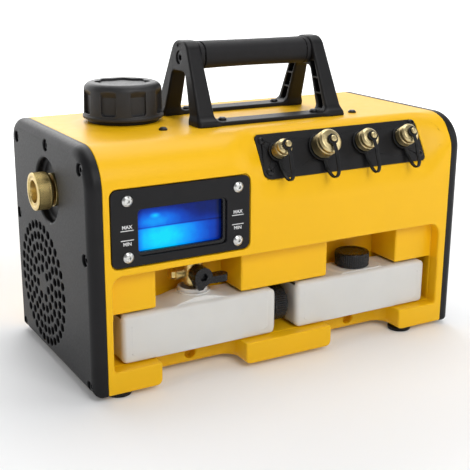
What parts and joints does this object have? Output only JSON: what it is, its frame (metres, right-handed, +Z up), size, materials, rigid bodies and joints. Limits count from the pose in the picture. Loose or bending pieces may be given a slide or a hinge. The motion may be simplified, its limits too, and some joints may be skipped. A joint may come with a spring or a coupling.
{
  "type": "vacuum pump",
  "caption": "Portable refrigeration vacuum pump in a yellow box casing, with a carry handle, oil sight window, capped flare ports, a drain valve and stored oil bottles.",
  "frame": {"origin": "middle of the footprint, on the surface the rubber feet stand on", "axes": "+X along the length, away from the exhaust; +Y from the front with the window and bottles to the back; +Z up"},
  "size_m": [0.4214, 0.225, 0.302],
  "materials": {
    "yellow_shell": "moulded yellow plastic, fine texture, satin",
    "black_plastic": "fine-textured moulded black plastic",
    "gloss_black": "smooth black plastic",
    "soft_grip": "soft-touch black grip",
    "rubber": "matt black rubber",
    "brass": "machined brass",
    "pale_brass": "lightly plated brass flare caps",
    "screw_steel": "zinc-plated screws",
    "black_screw": "black oxide screws",
    "blue_glass": "clear sight window lit blue from behind",
    "bottle_plastic": "milky translucent oil bottle",
    "aluminium": "cast and machined aluminium",
    "steel": "ground steel",
    "copper": "copper tube and windings",
    "vane": "resin vane stock",
    "board": "lamp board"
  },
  "bodies": {
    "root": {"housing": "yellow_shell", "end_panel_left": "black_plastic", "end_panel_right": "black_plastic", "end_panel_screws": "black_screw", "chassis_plate": "steel", "rubber_feet": "rubber", "foot_screws": "screw_steel", "handle_frame": "black_plastic", "handle_grip": "soft_grip", "handle_core": "steel", "handle_bolts": "black_screw", "top_screws": "black_screw", "oil_tank": "aluminium", "filler_neck": "brass", "sight_glass": "blue_glass", "window_bezel": "black_plastic", "bezel_screws": "screw_steel", "led_board": "board", "drain_pipe": "brass", "valve_body": "brass", "port_plate": "black_plastic", "port_plate_screws": "black_screw", "manifold": "aluminium", "port_fittings": "brass", "port_tether_1": "rubber", "port_tether_2": "rubber", "port_tether_3": "rubber", "port_tether_4": "rubber", "gas_tubes": "copper", "pump_body": "aluminium", "pump_covers": "aluminium", "shaft_bearings": "steel", "motor_housing": "aluminium", "motor_stator": "copper", "run_capacitor": "aluminium", "power_inlet": "gloss_black", "power_switch": "gloss_black", "exhaust_fitting": "brass"},
    "drive_line": {"motor_shaft": "steel", "pump_shaft": "steel", "shaft_coupling": "black_plastic", "motor_rotor": "steel", "rotor_first_stage": "steel", "rotor_second_stage": "steel", "rotor_vanes": "vane", "cooling_fan": "black_plastic"},
    "cap_ring": {"cap_gasket": "rubber"},
    "cap": {"oil_cap": "black_plastic"},
    "drain_lever": {"valve_ball": "steel", "valve_lever": "gloss_black"},
    "port_cap_1_body": {"port_cap_1": "pale_brass"},
    "port_cap_2_body": {"port_cap_2": "pale_brass"},
    "port_cap_3_body": {"port_cap_3": "pale_brass"},
    "port_cap_4_body": {"port_cap_4": "pale_brass"},
    "left_bottle": {"bottle_left": "bottle_plastic"},
    "right_bottle": {"bottle_right": "bottle_plastic"},
    "left_bottle_cap": {"bottle_cap_left": "gloss_black"},
    "right_bottle_cap": {"bottle_cap_right": "gloss_black"},
    "rocker": {"switch_rocker": "gloss_black"},
    "exhaust_ring": {"exhaust_collar": "brass"}
  },
  "joints": [
    {"name": "drive_spin", "type": "hinge", "parent": "root", "child": "drive_line", "pos_m": [0.00525, 0.0355, 0.074], "axis": [1, 0, 0], "continuous": true},
    {"name": "cap_turn", "type": "hinge", "parent": "root", "child": "cap_ring", "pos_m": [-0.11375, 0.0245, 0.23], "axis": [0, 0, 1], "range_deg": [0, 720]},
    {"name": "cap_lift", "type": "slide", "parent": "cap_ring", "child": "cap", "axis": [0, 0, 1], "range_m": [0, 0.012]},
    {"name": "drain_turn", "type": "hinge", "parent": "root", "child": "drain_lever", "pos_m": [-0.08575, -0.0795, 0.098], "axis": [0, -1, 0], "range_deg": [0, 90]},
    {"name": "left_bottle_slide", "type": "slide", "parent": "root", "child": "left_bottle", "axis": [0, -1, 0], "range_m": [0, 0.12]},
    {"name": "right_bottle_slide", "type": "slide", "parent": "root", "child": "right_bottle", "axis": [0, -1, 0], "range_m": [0, 0.12]},
    {"name": "left_cap_turn", "type": "hinge", "parent": "left_bottle", "child": "left_bottle_cap", "pos_m": [0.00525, -0.0635, 0.051], "axis": [1, 0, 0], "range_deg": [0, 540]},
    {"name": "right_cap_turn", "type": "hinge", "parent": "right_bottle", "child": "right_bottle_cap", "pos_m": [0.09825, -0.0625, 0.082], "axis": [0, 0, 1], "range_deg": [0, 540]},
    {"name": "rocker_tip", "type": "hinge", "parent": "root", "child": "rocker", "pos_m": [0.20225, -0.0205, 0.174], "axis": [0, 1, 0], "range_deg": [0, 16]},
    {"name": "exhaust_turn", "type": "hinge", "parent": "root", "child": "exhaust_ring", "pos_m": [-0.20475, 0.0105, 0.172], "axis": [-1, 0, 0], "range_deg": [0, 720]},
    {"name": "port_cap_1_pull", "type": "slide", "parent": "root", "child": "port_cap_1_body", "axis": [0, -0.8572, 0.515], "range_m": [0, 0.012], "deforming": ["port_tether_1"]},
    {"name": "port_cap_2_pull", "type": "slide", "parent": "root", "child": "port_cap_2_body", "axis": [0, -0.8572, 0.515], "range_m": [0, 0.012], "deforming": ["port_tether_2"]},
    {"name": "port_cap_3_pull", "type": "slide", "parent": "root", "child": "port_cap_3_body", "axis": [0, -0.8572, 0.515], "range_m": [0, 0.012], "deforming": ["port_tether_3"]},
    {"name": "port_cap_4_pull", "type": "slide", "parent": "root", "child": "port_cap_4_body", "axis": [0, -0.8572, 0.515], "range_m": [0, 0.012], "deforming": ["port_tether_4"]}
  ],
  "couplings": [
    {"joint": "cap_lift", "follows": "cap_turn", "m_per_rad": 0.00095493}
  ]
}
